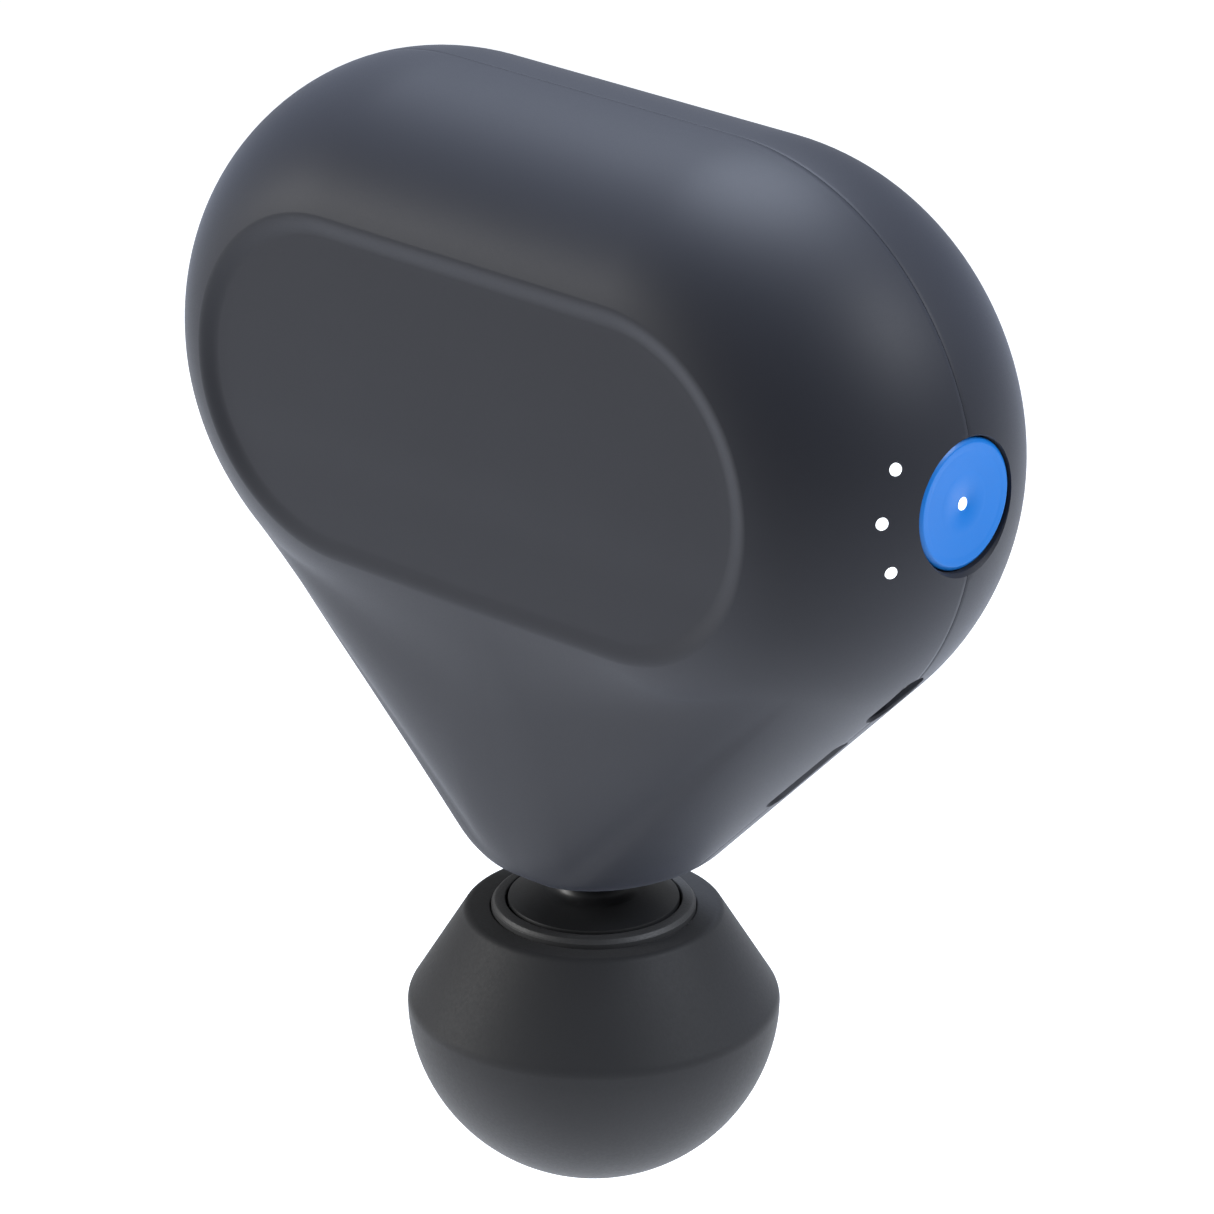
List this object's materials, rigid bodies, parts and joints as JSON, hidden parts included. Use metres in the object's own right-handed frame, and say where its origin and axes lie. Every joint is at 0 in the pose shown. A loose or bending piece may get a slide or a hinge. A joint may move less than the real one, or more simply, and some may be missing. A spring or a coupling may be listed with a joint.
{
  "type": "massage gun",
  "caption": "Compact handheld percussive massager: rounded-triangle body, side power button with status lights, and a pull-off foam ball on a reciprocating shaft.",
  "frame": {"origin": "middle of the hand grip, on the tool shaft axis and on the seam plane between the two shells", "axes": "+Z along the tool shaft away from the ball, -Y out of the front face, +X out of the power button"},
  "size_m": [0.1073, 0.042, 0.127],
  "materials": {
    "shell_silicone": "soft-touch matte",
    "foam": "matte closed-cell foam",
    "insert_plastic": "fine matte",
    "ring_plastic": "fine spark texture",
    "button_blue": "satin blue",
    "lens_white": "white diffusing",
    "steel_polished": "polished",
    "steel_plain": "zinc plated",
    "black_plastic": "moulded",
    "frame_aluminium": "die cast",
    "bush_bronze": "sintered",
    "copper_wire": "enamelled",
    "magnet": "nickel plated",
    "seal_rubber": "matte",
    "cell_wrap": "shrink wrap",
    "board_green": "solder mask",
    "lead_red": "wire insulation",
    "port_steel": "stamped"
  },
  "bodies": {
    "housing": {"front_shell": "shell_silicone", "rear_shell": "shell_silicone", "screw_covers": "shell_silicone", "housing_screws": "steel_plain", "light_pipes": "lens_white", "nose_seal": "seal_rubber", "drive_frame": "frame_aluminium", "shaft_bush": "bush_bronze", "end_buffer": "seal_rubber", "frame_screws": "steel_plain", "frame_buffers": "seal_rubber", "motor_base": "frame_aluminium", "motor_screws": "steel_plain", "motor_bearings": "steel_polished", "stator_core": "steel_plain", "stator_windings": "copper_wire", "switch_body": "black_plastic", "main_board": "board_green", "board_chips": "black_plastic", "light_board": "board_green", "charge_port": "port_steel", "port_tongue": "black_plastic", "vent_grille": "black_plastic", "battery_cells": "cell_wrap", "battery_holder": "black_plastic", "battery_leads": "lead_red"},
    "crank": {"rotor_can": "steel_plain", "rotor_magnets": "magnet", "motor_shaft": "steel_polished", "crank_disc": "steel_plain", "crank_pin": "steel_polished", "crank_roller": "steel_polished", "pin_clip": "steel_plain"},
    "tool_shaft": {"yoke": "frame_aluminium", "output_shaft": "steel_polished", "shaft_pin": "steel_plain", "detent_ring": "seal_rubber"},
    "ball_tool": {"socket_sleeve": "bush_bronze", "insert_cone": "insert_plastic", "insert_ring": "ring_plastic", "insert_core": "black_plastic", "foam_ball": "foam"},
    "power_button": {"button_cap": "button_blue", "button_light": "lens_white", "switch_plunger": "black_plastic"}
  },
  "joints": [
    {"name": "crank_turn", "type": "hinge", "parent": "housing", "child": "crank", "pos_m": [0, 0, 0.012], "axis": [0, 1, 0], "range_deg": [0, 180]},
    {"name": "stroke", "type": "slide", "parent": "housing", "child": "tool_shaft", "axis": [0, 0, -1], "range_m": [0, 0.012]},
    {"name": "tool_pull", "type": "slide", "parent": "tool_shaft", "child": "ball_tool", "axis": [0, 0, -1], "range_m": [0, 0.02]},
    {"name": "button_press", "type": "slide", "parent": "housing", "child": "power_button", "axis": [-1, 0, 0], "range_m": [0, 0.0008], "stiffness_N_per_m": 2500, "springref_m": -0.0003}
  ],
  "couplings": [
    {"joint": "stroke", "follows": "crank_turn", "m_per_rad": 0.0038197}
  ]
}
